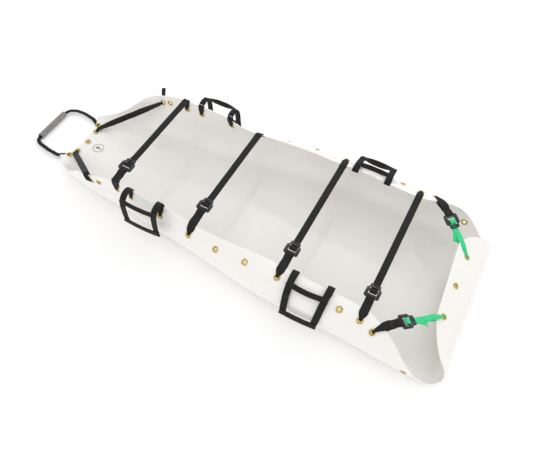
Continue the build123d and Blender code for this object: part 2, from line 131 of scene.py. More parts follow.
def sheet_point(s, t, lift=0.0):
    """Point on the sheet's middle surface, moved by lift towards its outer face."""
    side = 1 if t >= 0 else -1
    floor_half = section_value(s, FLOOR_HALF)
    wall_angle = radians(section_value(s, BEND_ANGLE))
    run, rise, slope = curl(abs(t) - floor_half, section_value(s, BEND_RADIUS), wall_angle)
    y = side * (floor_half + run + lift * sin(slope)) + section_value(s, SWAY)
    head_rise = HEAD_RISE * max(0.0, (HEAD_RISE_X - s) / HEAD_RISE_RUN) ** 2
    height = rise + head_rise - lift * cos(slope)
    ahead, up, fold = curl(s - FOOT_FOLD_X, FOOT_FOLD_RADIUS, radians(FOOT_FOLD_ANGLE))
    x = FOOT_FOLD_X + ahead - height * sin(fold)
    return Vector((x, y, up + height * cos(fold) + SHEET_THICKNESS / 2))


def half_width(s):
    return section_value(s, FLAT_HALF)


def outline_position(u, v):
    """Flat place for u from head to foot and v from the left edge (-1) to the right edge (1)."""
    s = HEAD_CORNER_X + u * (FOOT_EDGE_S - HEAD_CORNER_X)
    t = v * half_width(s)
    near_head = max(0.0, 1 - (s - HEAD_CORNER_X) / HEAD_CURVE_REACH) ** 2
    near_foot = max(0.0, (s - FOOT_EDGE_S + FOOT_SKEW_REACH) / FOOT_SKEW_REACH) ** 2
    s += near_head * (HEAD_EDGE_X - HEAD_CORNER_X) * (1 - v * v)
    return s + FOOT_EDGE_SKEW * t * near_foot, t


def side_place(s, side, inset=EDGE_DISTANCE):
    return s, side * (half_width(s) - inset)


side_stations = [*STRAP_STATIONS, *SPARE_STATIONS, FOOT_STRAP_STATION, CORNER_STATION, *HANDLE_STATIONS[0],
                 *HANDLE_STATIONS[1]]
shoulder_grommets = [side_place(s, side, SHOULDER_INSET) for s in SHOULDER_STATIONS for side in (-1, 1)]
GROMMETS = {
    "grommets_left_wall": [side_place(s, -1) for s in side_stations],
    "grommets_right_wall": [side_place(s, 1) for s in side_stations],
    "grommets_head_end": [*HEAD_GROMMETS, *shoulder_grommets],
    "grommets_foot_flap": [(FLAP_GROMMET_S, t) for t in (-FLAP_GROMMET_T, 0, FLAP_GROMMET_T)],
}
ALL_GROMMETS = [place for places in GROMMETS.values() for place in places]


# ---------------------------------------------------------------- materials
class Nodes:
    """Short way to write a node tree: each call adds one node and links or sets its inputs."""

    def __init__(self, name):
        self.material = bpy.data.materials.new(name)
        self.material.use_nodes = True
        self.tree = self.material.node_tree
        self.shader = self.tree.nodes["Principled BSDF"]

    def add(self, kind, values=None, **settings):
        node = self.tree.nodes.new(kind)
        for key, value in settings.items():
            setattr(node, key, value)
        for key, value in (values or {}).items():
            self.put(node, key, value)
        return node

    def put(self, node, key, value):
        if isinstance(value, bpy.types.NodeSocket):
            self.tree.links.new(value, node.inputs[key])
        else:
            node.inputs[key].default_value = value

    def math(self, operation, a, b=0.0):
        return self.add("ShaderNodeMath", {0: a, 1: b}, operation=operation).outputs[0]

    def ramp(self, factor, stops):
        node = self.add("ShaderNodeValToRGB", {"Fac": factor})
        for element, (place, colour) in zip(node.color_ramp.elements, stops):
            element.position = place
            element.color = (*colour, 1)
        for place, colour in stops[2:]:
            node.color_ramp.elements.new(place).color = (*colour, 1)
        return node.outputs["Color"]

    def noise(self, vector, scale, detail=3.0):
        node = self.add("ShaderNodeTexNoise", {"Vector": vector, "Scale": scale, "Detail": detail})
        return node.outputs["Fac"]

    def stretch(self, vector, scale):
        return self.add("ShaderNodeMapping", {"Vector": vector, "Scale": scale}).outputs["Vector"]

    def bump(self, height, strength, distance, under=None):
        values = {"Height": height, "Strength": strength, "Distance": distance}
        if under is not None:
            values["Normal"] = under
        return self.add("ShaderNodeBump", values).outputs["Normal"]

    def finish(self, **inputs):
        for key, value in inputs.items():
            self.put(self.shader, key.replace("_", " "), value)
        return self.material


def webbing_material(name, dark, light, roughness, sheen):
    """Woven webbing: UV u runs across and v along the band, both in metres."""
    n = Nodes(name)
    uv = n.add("ShaderNodeUVMap", uv_map="flat").outputs["UV"]
    split = n.add("ShaderNodeSeparateXYZ", {"Vector": uv})
    across, along = split.outputs["X"], split.outputs["Y"]
    ribs = n.math("SINE", n.math("MULTIPLY", along, 2 * pi / 0.0016))
    cords = n.math("SINE", n.math("MULTIPLY", across, 2 * pi / 0.0023))
    twill = n.math("MULTIPLY", ribs, cords)
    weave = n.math("ADD", n.math("MULTIPLY", twill, 0.5), n.math("MULTIPLY", cords, 0.35))
    fuzz = n.noise(n.stretch(uv, (1, 0.35, 1)), 900, 2)
    patches = n.noise(uv, 42, 4)
    shade = n.math("ADD", n.math("MULTIPLY", weave, 0.22), n.math("ADD", n.math("MULTIPLY", patches, 0.5),
                                                                  n.math("MULTIPLY", fuzz, 0.3)))
    colour = n.ramp(shade, ((0.2, dark), (0.8, light)))
    height = n.math("ADD", n.math("MULTIPLY", weave, 0.5), n.math("MULTIPLY", fuzz, 0.4))
    normal = n.bump(height, 0.65, 0.0005)
    return n.finish(Base_Color=colour, Roughness=roughness, Normal=normal, Sheen_Weight=sheen,
                    Sheen_Roughness=0.4, Specular_IOR_Level=0.3)


def sheet_material():
    """Milky, slightly translucent plastic with drawing lines along its length and fine scuffs."""
    n = Nodes("sheet_plastic")
    uv = n.add("ShaderNodeUVMap", uv_map="flat").outputs["UV"]
    clouds = n.noise(uv, 4.5, 4)
    lines = n.noise(n.stretch(uv, (1.2, 90, 1)), 6, 3)
    scuffs = n.noise(n.stretch(uv, (14, 220, 1)), 9, 5)
    tone = n.math("ADD", n.math("MULTIPLY", clouds, 0.6), n.math("MULTIPLY", lines, 0.4))
    colour = n.ramp(tone, ((0.3, (0.86, 0.83, 0.795)), (0.7, (0.905, 0.88, 0.85))))
    waves = n.noise(n.stretch(uv, (2.2, 9, 1)), 3.2, 2)
    normal = n.bump(waves, 0.55, 0.004)
    normal = n.bump(lines, 0.25, 0.0006, normal)
    normal = n.bump(scuffs, 0.12, 0.0003, normal)
    roughness = n.math("ADD", n.math("MULTIPLY", scuffs, 0.14), 0.09)
    return n.finish(Base_Color=colour, Roughness=roughness, Normal=normal, Subsurface_Weight=0.22,
                    Subsurface_Scale=0.012, Subsurface_Radius=(1.0, 1.0, 1.0), Coat_Weight=0.35,
                    Coat_Roughness=0.06, IOR=1.5)


def plastic_material(name, dark, light, roughness, grain):
    n = Nodes(name)
    place = n.add("ShaderNodeTexCoord").outputs["Object"]
    patches = n.noise(place, 60, 4)
    fine = n.noise(place, grain, 2)
    colour = n.ramp(patches, ((0.3, dark), (0.7, light)))
    rough = n.math("ADD", n.math("MULTIPLY", patches, 0.18), roughness)
    return n.finish(Base_Color=colour, Roughness=rough, Normal=n.bump(fine, 0.18, 0.0002), Coat_Weight=0.15,
                    Coat_Roughness=0.2)


def brass_material():
    n = Nodes("brass_metal")
    place = n.add("ShaderNodeTexCoord").outputs["Object"]
    tarnish = n.noise(place, 140, 4)
    colour = n.ramp(tarnish, ((0.35, (0.42, 0.29, 0.06)), (0.65, (0.74, 0.56, 0.16))))
    rough = n.math("ADD", n.math("MULTIPLY", tarnish, 0.22), 0.16)
    return n.finish(Base_Color=colour, Roughness=rough, Metallic=1.0, Normal=n.bump(tarnish, 0.15, 0.0002))


def thread_material(name, colour):
    n = Nodes(name)
    place = n.add("ShaderNodeTexCoord").outputs["Object"]
    twist = n.noise(place, 1500, 1)
    darker = tuple(0.6 * c for c in colour)
    return n.finish(Base_Color=n.ramp(twist, ((0.3, darker), (0.7, colour))), Roughness=0.6,
                    Normal=n.bump(twist, 0.5, 0.0002))


SHEET = sheet_material()
BRASS = brass_material()
BLACK_WEB = webbing_material("black_webbing", (0.004, 0.004, 0.003), (0.017, 0.016, 0.014), 0.72, 0.04)
THIN_WEB = webbing_material("thin_webbing", (0.004, 0.004, 0.004), (0.017, 0.016, 0.015), 0.7, 0.04)
GREEN_WEB = webbing_material("green_webbing", (0.02, 0.50, 0.19), (0.09, 0.86, 0.38), 0.6, 0.1)
BUCKLE = plastic_material("buckle_plastic", (0.006, 0.006, 0.007), (0.014, 0.014, 0.016), 0.2, 1400)
BAR = plastic_material("bar_plastic", (0.010, 0.010, 0.011), (0.022, 0.022, 0.024), 0.28, 1400)
TUBE = plastic_material("tube_plastic", (0.17, 0.16, 0.155), (0.25, 0.24, 0.23), 0.38, 900)
BLACK_THREAD = thread_material("black_thread", (0.05, 0.05, 0.055))
GREEN_THREAD = thread_material("green_thread", (0.05, 0.6, 0.2))


# ---------------------------------------------------------------- mesh helpers
def make_object(name, vertices, faces, material, flat=None, body=ROOT, slot=None, replaces=()):
    """A smooth mesh piece from points in mm, riding on a body."""
    mesh = bpy.data.meshes.new(name)
    mesh.from_pydata([Vector(v) * MM for v in vertices], [], faces)
    if flat:
        layer = mesh.uv_layers.new(name="flat")
        for loop in mesh.loops:
            layer.data[loop.index].uv = flat[loop.vertex_index]
    mesh.materials.append(material)
    mesh.polygons.foreach_set("use_smooth", [True] * len(mesh.polygons))
    mesh.validate()
    piece = bpy.data.objects.new(name, mesh)
    bpy.context.collection.objects.link(piece)
    if replaces:
        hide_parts(*replaces)
    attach(piece, body)
    return piece


def spread(points, step):
    """Points along a polyline at about the given spacing."""
    result = [Vector(points[0])]
    for a, b in zip(points, points[1:]):
        count = max(1, round((Vector(b) - Vector(a)).length / step))
        result += [Vector(a).lerp(Vector(b), (i + 1) / count) for i in range(count)]
    return result


def relaxed(points, step=3.0, rounds=6):
    """The polyline with its corners eased."""
    line = spread(points, step)
    for _ in range(rounds):
        inner = [(a + b * 2 + c) / 4 for a, b, c in zip(line, line[1:], line[2:])]
        line = [line[0]] + inner + [line[-1]]
    return line


def frames(line, across=None, normal=None):
    """Place, across and normal directions along a line."""
    result = []
    for i, point in enumerate(line):
        tangent = (line[min(i + 1, len(line) - 1)] - line[max(i - 1, 0)]).normalized()
        if across is not None:
            side = (across - tangent * across.dot(tangent)).normalized()
        else:
            side = normal.cross(tangent).normalized()
        result.append((point, side, tangent.cross(side).normalized()))
    return result


def web(name, points, width, material, across=None, normal=None, thickness=2.0, gather=(), step=3.0, rounds=6,
        seed=0.0, twist=0.0, **piece):
    """A band of webbing. gather lists (end, throat, length): 0 for the start and 1 for the end of the band.

    twist is how far, in degrees, the band turns about its own line at the middle of its length.
    """
    line = relaxed(points, step, rounds)
    places = frames(line, across, normal)
    for i, (point, side, up) in enumerate(places if twist else ()):
        angle = radians(twist) * sin(pi * i / (len(line) - 1)) ** 2
        places[i] = (point, side * cos(angle) + up * sin(angle), up * cos(angle) - side * sin(angle))
    lengths = [0.0]
    for a, b in zip(line, line[1:]):
        lengths.append(lengths[-1] + (b - a).length)
    total = lengths[-1]
    columns = 12
    ring = [(-1 + 2 * i / columns, 1) for i in range(columns + 1)]
    ring += [(1 - 2 * i / columns, -1) for i in range(columns + 1)]
    vertices, flat = [], []
    for (point, side, up), walked in zip(places, lengths):
        fraction = 1.0
        for end, throat, reach in gather:
            away = walked if end == 0 else total - walked
            ease = min(1.0, away / reach)
            fraction = min(fraction, (throat + (width - throat) * ease * ease * (3 - 2 * ease)) / width)
        bunch = 1 - fraction
        wander = 0.35 * noise.noise(Vector((walked * 0.02, seed, 0)))
        for place, face in ring:
            rounding = 1 - 0.55 * abs(place) ** 8
            lift = face * thickness / 2 * rounding * (1 + 0.9 * bunch)
            lift += bunch * 2.2 * cos(place * 2.6 * pi + seed) * min(1.0, walked / 6)
            cup = 0.4 * noise.noise(Vector((walked * 0.035, place * 0.8, seed + 7)))
            edge = 0.995 if face > 0 else 1.0
            spot = point + side * (place * edge * width / 2 * fraction + wander) + up * (lift + cup)
            vertices.append(spot)
            flat.append((place * width / 2 * MM + 0.5, walked * MM))
    size = len(ring)
    faces = []
    for row in range(len(line) - 1):
        for i in range(size):
            j = (i + 1) % size
            faces.append((row * size + i, row * size + j, (row + 1) * size + j, (row + 1) * size + i))
    faces.append(tuple(range(size))[::-1])
    faces.append(tuple((len(line) - 1) * size + i for i in range(size)))
    return make_object(name, vertices, faces, material, flat, **piece)


def thread(name, rows, material, body, radius=0.45, pitch=4.2):
    """Raised stitches along rows of (start, end, outward direction)."""
    vertices, faces = [], []
    for start, end, outward in rows:
        start, end = Vector(start), Vector(end)
        heading = (end - start).normalized()
        side = heading.cross(outward).normalized()
        count = max(1, int((end - start).length / pitch))
        for i in range(count):
            middle = start.lerp(end, (i + 0.5) / count)
            base = len(vertices)
            for along, size in ((-1.5, 0.4), (-0.9, 1), (0.9, 1), (1.5, 0.4)):
                for k in range(6):
                    angle = k * pi / 3
                    sink = -0.35 if abs(along) > 1 else 0
                    spoke = (side * cos(angle) + outward * sin(angle)) * radius * size
                    vertices.append(middle + heading * along + spoke + outward * sink)
            for ring in range(3):
                for k in range(6):
                    a, b = base + ring * 6 + k, base + ring * 6 + (k + 1) % 6
                    faces.append((a, b, b + 6, a + 6))
            faces.append(tuple(base + k for k in range(6))[::-1])
            faces.append(tuple(base + 18 + k for k in range(6)))
    return make_object(name, vertices, faces, material, body=body)


def lathe(name, places, outline, material, segments=40, **piece):
    """Rings of (radius, height) turned about local Z at each place, a matrix in mm; the outline is closed."""
    vertices, faces = [], []
    size = len(outline)
    for place in places:
        base = len(vertices)
        for k in range(segments):
            angle = 2 * pi * k / segments
            vertices += [place @ Vector((r * cos(angle), r * sin(angle), h)) for r, h in outline]
        for k in range(segments):
            a, b = base + k * size, base + (k + 1) % segments * size
            faces += [(a + i, b + i, b + (i + 1) % size, a + (i + 1) % size) for i in range(size)]
    return make_object(name, vertices, faces, material, **piece)


def rounded(outline, radius=0.35):
    """A closed outline with each corner cut to a small three-point round."""
    result = []
    for i, (x, y) in enumerate(outline):
        corner = Vector((x, y))
        before, after = Vector(outline[i - 1]) - corner, Vector(outline[(i + 1) % len(outline)]) - corner
        a = corner + before.normalized() * min(radius, before.length / 2.5)
        b = corner + after.normalized() * min(radius, after.length / 2.5)
        result += [tuple(a), tuple((a + b + corner * 2) / 4), tuple(b)]
    return result


def refined(node, material, bevel, body=None):
    """The CAD node's own shape with its sharp edges rounded, standing for the node."""
    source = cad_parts[node]
    piece = bpy.data.objects.new(node + "_detail", source.data.copy())
    bpy.context.collection.objects.link(piece)
    piece.matrix_world = source.matrix_world.copy()
    piece.data.materials.clear()
    piece.data.materials.append(material)
    weld = piece.modifiers.new("weld", "WELD")
    weld.merge_threshold = 0.00002
    flat = piece.modifiers.new("flat", "DECIMATE")
    flat.decimate_type = "DISSOLVE"
    flat.angle_limit = radians(2)
    edge = piece.modifiers.new("edge", "BEVEL")
    edge.width = bevel
    edge.segments = 3
    edge.limit_method = "ANGLE"
    edge.angle_limit = radians(28)
    edge.harden_normals = True
    bpy.context.view_layer.objects.active = piece
    for selected in bpy.context.selected_objects:
        selected.select_set(False)
    piece.select_set(True)
    for modifier in ("weld", "flat", "edge"):
        bpy.ops.object.modifier_apply(modifier=modifier)
    piece.data.polygons.foreach_set("use_smooth", [True] * len(piece.data.polygons))
    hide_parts(node)
    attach(piece, body or ROOT)
    return piece


# ---------------------------------------------------------------- sheet
SHEET_ROWS, SHEET_COLUMNS = 250, 160
HOLE_REACH, HOLE_RADIUS = 7.4, 10.2


def clamp(value):
    return min(1.0, max(0.0, value))


def unevenness(s, t):
    """How far the real sheet lies off its drawn surface, towards its outer face."""
    amount = 2.6 * noise.noise(Vector((s / 230, t / 130, 3.1)))
    amount += 0.9 * noise.noise(Vector((s / 80, t / 60, 9.7)))
    from_edge = half_width(s) - abs(t)
    for station in STRAP_STATIONS[:2]:
        if t > 0:
            pull = clamp((from_edge - 35) / 60) * clamp((abs(t) - section_value(s, FLOOR_HALF)) / 60)
            away = s - station
            amount += pull * (3.2 * 2.718 ** -((away / 15) ** 2) - 2.4 * 2.718 ** -(((away - 30) / 16) ** 2))
    nearest = min(hypot(s - gs, t - gt) for gs, gt in ALL_GROMMETS)
    amount *= clamp((nearest - 16) / 60)
    wall = clamp((abs(t) - section_value(s, FLOOR_HALF)) / 70)
    return amount * wall - abs(amount) * 0.45 * (1 - wall)


def sheet():
    flat = [[outline_position(i / SHEET_ROWS, 2 * j / SHEET_COLUMNS - 1) for j in range(SHEET_COLUMNS + 1)]
            for i in range(SHEET_ROWS + 1)]
    removed = set()
    for gs, gt in ALL_GROMMETS:
        near = [(i, j) for i, row in enumerate(flat) if abs(row[SHEET_COLUMNS // 2][0] - gs) < 60
                for j, (s, t) in enumerate(row) if hypot(s - gs, t - gt) < 30]
        inside = [k for k in near if hypot(flat[k[0]][k[1]][0] - gs, flat[k[0]][k[1]][1] - gt) < HOLE_REACH]
        removed.update(inside)
        rim = {(i + a, j + b) for i, j in inside for a in (-1, 0, 1) for b in (-1, 0, 1)} - set(inside)
        for i, j in rim:
            s, t = flat[i][j]
            reach = hypot(s - gs, t - gt)
            flat[i][j] = (gs + (s - gs) * HOLE_RADIUS / reach, gt + (t - gt) * HOLE_RADIUS / reach)
    vertices, places = [], []
    for lift in (SHEET_THICKNESS / 2, -SHEET_THICKNESS / 2):
        for row in flat:
            for s, t in row:
                vertices.append(sheet_point(s, t, lift + unevenness(s, t)))
                places.append((s * MM, t * MM))
    width = SHEET_COLUMNS + 1
    inner = width * (SHEET_ROWS + 1)
    faces, borders = [], {}
    for i in range(SHEET_ROWS):
        for j in range(SHEET_COLUMNS):
            corners = ((i, j), (i + 1, j), (i + 1, j + 1), (i, j + 1))
            if removed.intersection(corners):
                continue
            a, b, c, d = (r * width + k for r, k in corners)
            faces += [(a, b, c, d), (a + inner, d + inner, c + inner, b + inner)]
            for edge in ((a, b), (b, c), (c, d), (d, a)):
                if edge[::-1] in borders:
                    del borders[edge[::-1]]
                else:
                    borders[edge] = True
    faces += [(b, a, a + inner, b + inner) for a, b in borders]
    used = sorted({v for face in faces for v in face})
    order = {v: k for k, v in enumerate(used)}
    faces = [tuple(order[v] for v in face) for face in faces]
    piece = make_object("plastic_sheet", [vertices[v] for v in used], faces, SHEET, [places[v] for v in used],
                        slot="sheet", replaces=("sheet_body",))
    piece.data.set_sharp_from_angle(angle=radians(45))
    return piece


sheet()



def ink_material():
    n = Nodes("printed_ink")
    place = n.add("ShaderNodeTexCoord").outputs["Object"]
    wear = n.noise(place, 260, 4)
    colour = n.ramp(wear, ((0.35, (0.10, 0.10, 0.10)), (0.75, (0.30, 0.30, 0.29))))
    return n.finish(Base_Color=colour, Roughness=0.5)


INK_LIFT = -SHEET_THICKNESS / 2 - 0.9


def printed(name, outlines, centre, material):
    """Flat ink shapes on the inner face. Each outline is a strip of quads, as (x, y) about a flat place."""
    vertices, faces = [], []
    for strip in outlines:
        base = len(vertices)
        for inner, outer in strip:
            vertices += [sheet_point(centre[0] + x, centre[1] + y, INK_LIFT) for x, y in (inner, outer)]
        corners = [base + 2 * i for i in range(len(strip) - 1)]
        faces += [(k, k + 1, k + 3, k + 2) for k in corners]
    return make_object(name, vertices, faces, material, slot="sheet")


RING_INNER, RING_OUTER, RING_STEPS = 24, 26.5, 48
turns = [2 * pi * a / RING_STEPS for a in range(RING_STEPS + 1)]
ring = [tuple((radius * cos(a), radius * sin(a)) for radius in (RING_INNER, RING_OUTER)) for a in turns]
shaft = [((16, -3), (16, 3)), ((-2, -3), (-2, 3))]
point = [((-2, -11), (-2, 11)), ((-16, -0.4), (-16, 0.4))]
printed("head_direction_mark", (ring, shaft, point), (-872, -8), ink_material())

# ---------------------------------------------------------------- grommets
EYELET = (
    (6.5, -3.2), (6.5, 1.6), (6.9, 2.7), (7.9, 3.3), (9.4, 3.4), (11.4, 3.0), (13.2, 2.3), (14, 1.7),
    (13.7, 1.45), (9.0, 1.5), (8.3, 1.2), (8.3, -2.5), (9.0, -2.8), (13.7, -2.75), (14, -3.0),
    (13.2, -3.5), (11.4, -4.1), (9.4, -4.5), (7.9, -4.4), (6.9, -3.9),
)


def sheet_frame(s, t):
    """Matrix at a place on the sheet: Z towards the outer face, X along the sheet."""
    outward = (sheet_point(s, t, 1) - sheet_point(s, t, -1)).normalized()
    along = (sheet_point(s + 1, t) - sheet_point(s - 1, t)).normalized()
    side = outward.cross(along).normalized()
    along = side.cross(outward)
    matrix = Matrix((along, side, outward)).transposed().to_4x4()
    matrix.translation = sheet_point(s, t)
    return matrix


for group, group_places in GROMMETS.items():
    lathe(group + "_eyelets", [sheet_frame(*place) for place in group_places], EYELET, BRASS,
          slot="grommet_brass", replaces=(group,))

# ---------------------------------------------------------------- straps
BUCKLE_LINE = 6.2
SEWN_LAP = 80
BAR_WRAP = ((-9, -6.2), (-11.5, -3), (-11.5, 4), (-9.5, 5.6), (4.5, 5.6), (7.5, 3.5), (7.5, -2.5), (9.5, -4))
THROAT, GATHER = 11.0, 36.0


def flattened(point, origin, across):
    return point - across * (point - origin).dot(across)


def leg(start, step, reach, lift, origin, across):
    """From a grommet over the sheet to just past its cut edge."""
    side = 1 if start[1] >= 0 else -1
    points = []
    for i in range(7):
        part = reach * i / 6
        place = sheet_point(start[0] + step[0] * part, start[1] + side * step[1] * part, lift)
        points.append(flattened(place, origin, across))
    return points


def edge_crossing(start, step, reach, origin, across):
    return leg(start, step, reach, 0, origin, across)[-1]


SEAM_INSET = 3
END_BAR_WRAP = ((-46, 1.4), (-39, 4.1), (-26, 4.3), (-24, 0), (-26, -4.3), (-39, -4.1), (-46, -1.2))


def buckled_strap(name, origin, level, left, right, reach, widths, tail, lifts, long_material, long_slot,
                  gather):
    """Short strap, buckle, bar and long strap. left and right are (grommet place, flat step, leg length)."""
    across = level.cross(UP).normalized()
    start = edge_crossing(*left, origin, across)
    end = edge_crossing(*right, origin, across)
    length = (end - start).length
    heading = (end - start).normalized()
    above = across.cross(heading)
    above = above if above.z > 0 else -above

    def place(along, height):
        return start + heading * along + above * height

    centre = flattened(sheet_point(*left[0]), origin, across)
    loop = [centre] + leg(*left, lifts[0], origin, across) + [place(22, 1.2), place(reach - 62, 2.2)]
    loop += [place(reach + x, BUCKLE_LINE + z) for x, z in END_BAR_WRAP]
    loop += [place(reach - 62, -0.2), place(22, -1.2)] + leg(*left, lifts[1], origin, across)[::-1] + [centre]
    web(name + "_short_web", loop, widths[0], BLACK_WEB, across=across,
        gather=((0, THROAT, gather), (1, THROAT, gather)), step=2.2, rounds=4, seed=reach,
        slot="black_webbing", replaces=(name + "_short_webbing",))

    centre = flattened(sheet_point(*right[0]), origin, across)
    upper = [centre] + leg(*right, lifts[0], origin, across) + [place(length - 22, 0.4), place(reach + 36, 0)]
    upper += [place(reach + x, BUCKLE_LINE + z) for x, z in BAR_WRAP] + [place(reach + tail, BUCKLE_LINE - 4)]
    web(name + "_long_web", upper, widths[1], long_material, across=across,
        gather=((0, THROAT, gather),), step=2.2, rounds=4, seed=reach + 3, slot=long_slot,
        replaces=(name + "_long_webbing",))
    lap = min(SEWN_LAP, length - reach - 44)
    under = [centre] + leg(*right, lifts[1], origin, across)
    under += [place(length - 24, -1.9), place(length - lap, -2.0)]
    web(name + "_sewn_end", under, widths[1], long_material, across=across,
        gather=((0, THROAT, gather),), step=2.2, rounds=4, seed=reach + 5, slot=long_slot)
    half = widths[1] / 2 - SEAM_INSET
    sewn_ends = place(length - 26, 1.35), place(length - lap + 6, 1.1)
    rows = [(*[end_place + across * half * side for end_place in sewn_ends], above) for side in (-1, 1)]
    rows += [(place(length - at, 1.3) - across * half, place(length - at, 1.3) + across * half, above)
             for at in (27, lap - 7, lap - 11)]
    green = long_material is GREEN_WEB
    thread(name + "_long_stitching", rows, GREEN_THREAD if green else BLACK_THREAD, ROOT)
    half = widths[0] / 2 - SEAM_INSET
    sewn_ends = place(25, 2.5), place(reach - 58, 3.3)
    rows = [(*[end_place + across * half * side for end_place in sewn_ends], above) for side in (-1, 1)]
    rows.append((place(reach - 58, 3.4) - across * half, place(reach - 58, 3.4) + across * half, above))
    thread(name + "_short_stitching", rows, BLACK_THREAD, ROOT)
    if green:
        fall = [place(reach + 20, 1), place(reach + 44, 5), place(reach + 62, 3), place(reach + 84, -4)]
        fall = [point + across * aside for point, aside in zip(fall, (0, 5, 12, 21))]
        web(name + "_loose_tail", fall, widths[1], long_material, across=across, seed=reach + 9,
            slot=long_slot)
    refined(name + "_buckle", BUCKLE, 0.0011, ROOT)
    refined(name + "_friction_bar", BAR, 0.0004, name + "_bar")


OVERHANG = 8.0
for number, (station, reach) in enumerate(zip(STRAP_STATIONS, BUCKLE_REACH), 1):
    ends = [(side_place(station, side), (0, 1), EDGE_DISTANCE + OVERHANG) for side in (-1, 1)]
    buckled_strap(f"strap_{number}", Vector((station, 0, 0)), Vector((0, 1, 0)), *ends, reach, (35, 30), 48,
                  CLOSE_LEGS, BLACK_WEB, "black_webbing", GATHER)

for side, name in ((-1, "foot_strap_left"), (1, "foot_strap_right")):
    wall_place = side_place(FOOT_STRAP_STATION, side)
    flap_place = (FLAP_GROMMET_S, side * FLAP_GROMMET_T)
    lie = sheet_point(*flap_place) - sheet_point(*wall_place)
    level = Vector((lie.x, lie.y, 0)).normalized()
    wall_end = (wall_place, (level.x, abs(level.y)), 74)
    flap_end = (flap_place, (level.x / cos(radians(30)), abs(level.y)), 68 + 14 * side)
    buckled_strap(name, sheet_point(*wall_place), level, wall_end, flap_end, FOOT_BUCKLE_REACH, (35, 26), 42,
                  SLANTED_LEGS, GREEN_WEB, "green_webbing", 60.0)

# ---------------------------------------------------------------- carry handles
HANGING_ARCH = ((0, 0), (14, 7), (38, 5), (58, -8), (68, -34), (73, -80), (75, -122))
OVER_THE_CURL = ((0, 0), (5, 10), (16, 13), (40, 11), (68, 2), (95, -20), (115, -57), (130, -95), (136, -114))
STANDING_OUT = ((0, 0), (5, 10), (20, 15), (50, 16), (80, 10), (108, -3))
# name, side, stations, profile, inner bar place, skew and pinch of the free end, bow and twist of each bar
HANDLES = (
    ("handle_left_head", -1, HANDLE_STATIONS[0], HANGING_ARCH, 58, (26, 4), (7, 0), (8, 0)),
    ("handle_left_foot", -1, HANDLE_STATIONS[1], OVER_THE_CURL, 62, (0, 12), (9, 0), (4, 0)),
    ("handle_right_head", 1, HANDLE_STATIONS[0], HANGING_ARCH, 36, (4, 0), (16, 75), (4, 0)),
    ("handle_right_foot", 1, HANDLE_STATIONS[1], STANDING_OUT, 34, (3, 5), (4, 55), (-9, 60)),
)
HANDLE_WIDTH = 28.0
HINGE_OVERHANG = 15.0
BAR_STEPS, BAR_OVERLAP = 12, 13
X_AXIS = Vector((1, 0, 0))


for name, side, stations, profile, inner_bar, (skew, pinch), inner_hang, outer_hang in HANDLES:
    middle = sum(stations) / 2
    place = side_place(middle, side)
    hinge = sheet_point(place[0], place[1] + side * (EDGE_DISTANCE + HINGE_OVERHANG))
    hinge.x = middle
    spine = [Vector((middle, hinge.y + side * out, hinge.z + up)) for out, up in profile]
    dense = spread(spine, 1.0)
    total = len(dense) - 1
    steps = [*range(0, total, 9), total]

    def drift(at, station):
        return (skew + copysign(pinch, middle - station)) * (at / total) ** 2

    for index, station in enumerate(stations):
        shift = X_AXIS * (station - middle)
        hanging = [dense[k] + shift + X_AXIS * drift(k, station) for k in steps]
        web(f"{name}_leg_{index + 1}", hanging, HANDLE_WIDTH, BLACK_WEB, across=X_AXIS, thickness=2.4,
            seed=station, slot="handle_webbing", body=name, replaces=(name + "_grip",) if index == 0 else ())
        origin = Vector((station, 0, 0))
        start = side_place(station, side)
        centre = flattened(sheet_point(*start), origin, X_AXIS)
        outer, inner = [leg(start, (0, 1), EDGE_DISTANCE + 3, lift, origin, X_AXIS) for lift in CLOSE_LEGS]
        loop = [centre] + outer + [hinge + shift] + inner[::-1] + [centre]
        web(f"{name}_anchor_{index + 1}", loop, HANDLE_WIDTH, BLACK_WEB, across=X_AXIS,
            gather=((0, THROAT, GATHER), (1, THROAT, GATHER)), step=2.2, rounds=4, seed=station + 1,
            slot="handle_webbing", replaces=(name + "_anchors",) if index == 0 else ())
    rows = []
    for bar_name, at, width, thickness, (bow, twist), offset in (
        ("cross_bar", inner_bar + 11, 22.0, 2.2, inner_hang, 2.2),
        ("grip_bar", total - 14, 26.0, 4.2, outer_hang, 2.4),
    ):
        spot, ahead, behind = dense[round(at)], dense[min(total, round(at) + 4)], dense[round(at) - 4]
        along = (ahead - behind).normalized()
        outward = X_AXIS.cross(along) * side
        outward = -outward if outward.z < 0 and abs(outward.z) > 0.3 else outward
        if abs(outward.z) <= 0.3 and outward.y * side < 0:
            outward = -outward
        points = []
        bar_ends = [station + drift(at, station) for station in stations]
        for i in range(BAR_STEPS + 1):
            x = bar_ends[0] - BAR_OVERLAP + (bar_ends[1] - bar_ends[0] + 2 * BAR_OVERLAP) * i / BAR_STEPS
            sag = bow * (1 - (2 * i / BAR_STEPS - 1) ** 2)
            points.append(Vector((x, spot.y, spot.z)) + outward * offset + along * sag)
        web(f"{name}_{bar_name}", points, width, BLACK_WEB, across=along, thickness=thickness, seed=at,
            slot="handle_webbing", body=name, twist=twist)
        for bar_end in bar_ends:
            base = Vector((bar_end, spot.y, spot.z)) + outward * (offset + thickness / 2 + 0.1)
            a, b = X_AXIS * 10, along * (width / 2 - SEAM_INSET)
            box = base - a - b, base + a - b, base - a + b, base + a + b
            rows += [(box[i], box[j], outward) for i, j in ((0, 1), (2, 3), (0, 2), (1, 3), (0, 3), (2, 1))]
    thread(name + "_stitching", rows, BLACK_THREAD, name)

